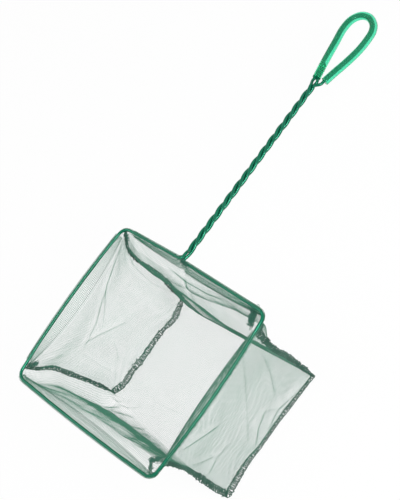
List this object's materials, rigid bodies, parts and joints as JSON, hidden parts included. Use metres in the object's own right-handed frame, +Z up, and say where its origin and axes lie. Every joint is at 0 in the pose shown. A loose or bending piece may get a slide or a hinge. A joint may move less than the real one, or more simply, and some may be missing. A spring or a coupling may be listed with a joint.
{
  "type": "aquarium fish net",
  "caption": "Square aquarium fish net: green vinyl-coated wire hoop, twisted wire handle with a sleeved hanging loop, and a sewn pale mesh bag.",
  "frame": {"origin": "centre of the bounding box in plan, on the ground under the bag's end panel", "axes": "+Z up out of the bag's mouth, +Y along the handle towards the hanging loop, +X across the hoop"},
  "size_m": [0.1602, 0.3966, 0.1152],
  "materials": {
    "vinyl": "glossy dark green vinyl over steel wire",
    "sleeve": "glossy translucent green vinyl tube",
    "mesh": "open knitted nylon mesh",
    "thread": "overlock sewing thread"
  },
  "bodies": {
    "root": {"hoop_wire": "vinyl", "left_handle_strand": "vinyl", "right_handle_strand": "vinyl", "return_handle_strand": "vinyl", "loop_wire": "vinyl", "tail_wire": "vinyl", "loop_sleeve": "sleeve", "left_hem": "mesh", "right_hem": "mesh", "far_hem": "mesh", "handle_hem_left": "mesh", "handle_hem_right": "mesh", "handle_side_wall": "mesh", "far_side_wall": "mesh", "left_gusset": "mesh", "right_gusset": "mesh", "end_panel": "mesh", "left_overlock_seam": "thread", "right_overlock_seam": "thread", "corner_tacks": "thread"}
  },
  "joints": []
}
